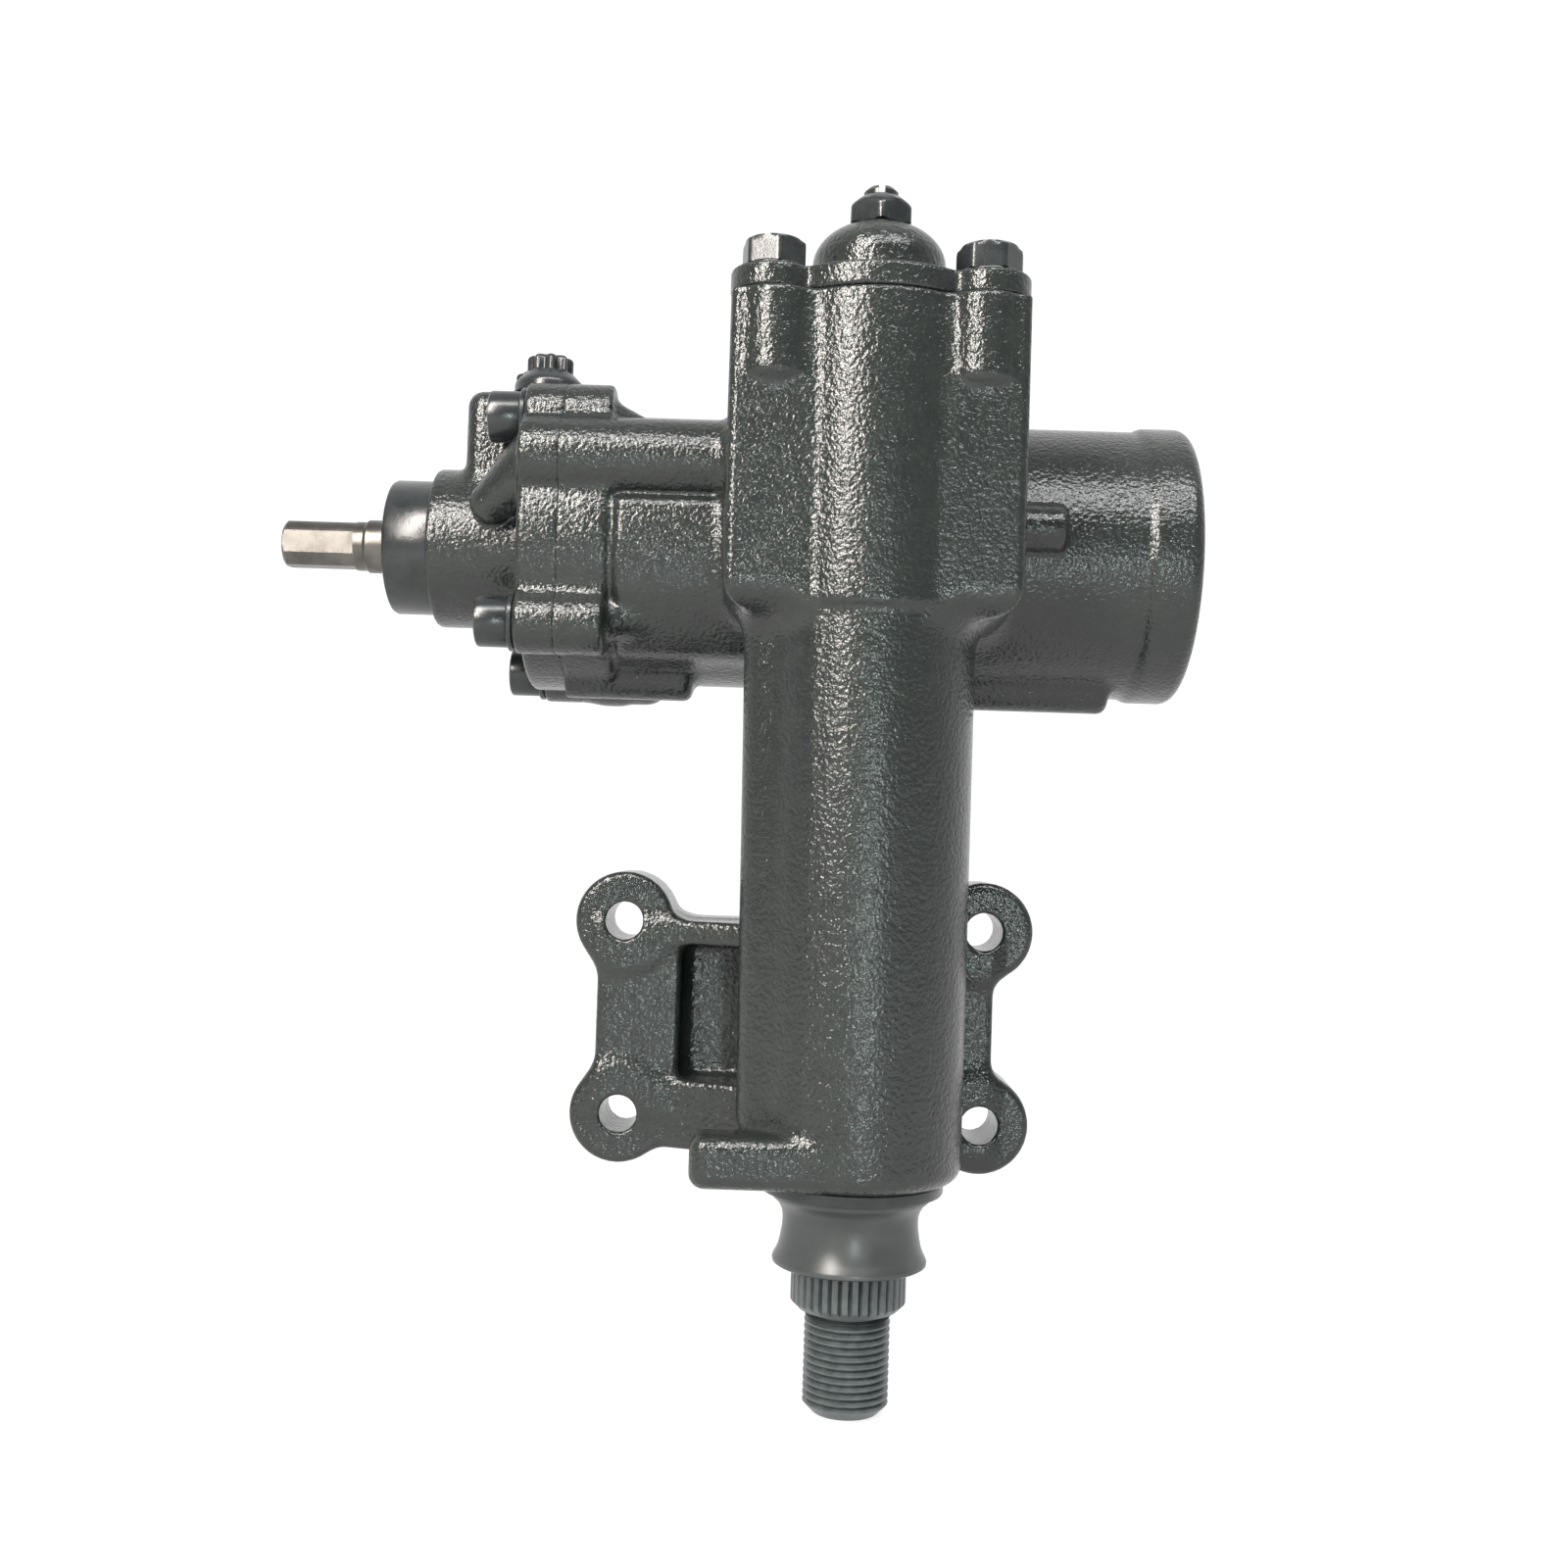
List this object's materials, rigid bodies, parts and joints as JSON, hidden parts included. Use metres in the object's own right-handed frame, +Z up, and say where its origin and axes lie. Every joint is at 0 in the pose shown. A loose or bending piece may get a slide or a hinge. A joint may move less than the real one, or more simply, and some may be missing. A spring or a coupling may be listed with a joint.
{
  "type": "worm gearbox",
  "caption": "Integral power steering gearbox: recirculating-ball worm and rack-piston in a horizontal cylinder turning a vertical splined sector shaft, with a rear mounting plate.",
  "frame": {"origin": "centre of the four mounting holes, on the rear mounting face", "axes": "+X along the worm towards the closed end of the power cylinder, +Y into the vehicle frame it is bolted to, +Z up along the sector shaft, whose splined end points down"},
  "size_m": [0.2809, 0.1328, 0.3426],
  "materials": {
    "painted_casting": "gloss black paint over rough cast iron",
    "painted_machined": "satin black paint over machined steel",
    "machined_steel": "ground steel",
    "input_steel": "bright turned steel",
    "rubber": "moulded rubber",
    "seal_plastic": "filled PTFE"
  },
  "bodies": {
    "housing": {"gear_housing": "painted_casting", "valve_housing": "painted_casting", "sector_cover": "painted_casting", "sector_cover_seal": "rubber", "sector_cover_bolts": "painted_machined", "valve_housing_screws": "painted_machined", "valve_housing_washers": "painted_machined", "valve_housing_seal": "rubber", "adjusting_screw": "painted_machined", "adjusting_screw_locknut": "painted_machined", "port_plugs": "painted_machined", "port_plug_washers": "painted_machined", "port_seats": "machined_steel", "gallery_plug": "machined_steel", "lower_needle_bearing": "machined_steel", "upper_needle_bearing": "machined_steel", "cover_needle_bearing": "machined_steel", "sector_oil_seal": "rubber", "seal_washer": "machined_steel", "seal_retaining_ring": "machined_steel", "dust_seal_ring": "painted_machined", "dust_boot": "rubber", "bearing_adjusting_plug": "painted_machined", "input_oil_seal": "rubber", "input_needle_bearing": "machined_steel", "worm_bearing_outer_race": "machined_steel"},
    "sector": {"sector_shaft": "painted_machined", "adjuster_thrust_washer": "machined_steel", "adjuster_retaining_ring": "machined_steel"},
    "piston": {"rack_piston": "machined_steel", "piston_seal_ring": "seal_plastic", "piston_backup_ring": "rubber", "piston_end_plug": "machined_steel", "ball_return_tube": "machined_steel", "return_tube_clamp": "machined_steel", "clamp_screws": "machined_steel", "recirculating_balls": "machined_steel"},
    "worm": {"worm_shaft": "machined_steel", "valve_sleeve": "machined_steel", "valve_sleeve_rings": "seal_plastic", "sleeve_drive_pin": "machined_steel", "worm_bearing_inner_race": "machined_steel", "worm_bearing_balls": "machined_steel", "torsion_bar": "machined_steel", "torsion_bar_pin": "machined_steel"},
    "input": {"input_shaft": "input_steel"}
  },
  "joints": [
    {"name": "sector_turn", "type": "hinge", "parent": "housing", "child": "sector", "pos_m": [0.0152, -0.045, 0.1417], "axis": [0, 0, 1], "range_deg": [-42, 42]},
    {"name": "rack_slide", "type": "slide", "parent": "housing", "child": "piston", "axis": [1, 0, 0], "range_m": [-0.0198, 0.0198]},
    {"name": "worm_turn", "type": "hinge", "parent": "housing", "child": "worm", "pos_m": [0.0152, 0.011, 0.1417], "axis": [1, 0, 0], "range_deg": [-679, 679]},
    {"name": "valve_twist", "type": "hinge", "parent": "worm", "child": "input", "pos_m": [0.0152, 0.011, 0.1417], "axis": [1, 0, 0], "range_deg": [-4.5, 4.5], "stiffness_Nm_per_rad": 60}
  ],
  "couplings": [
    {"joint": "rack_slide", "follows": "sector_turn", "m_per_rad": -0.027},
    {"joint": "worm_turn", "follows": "sector_turn", "ratio": 16.157}
  ]
}
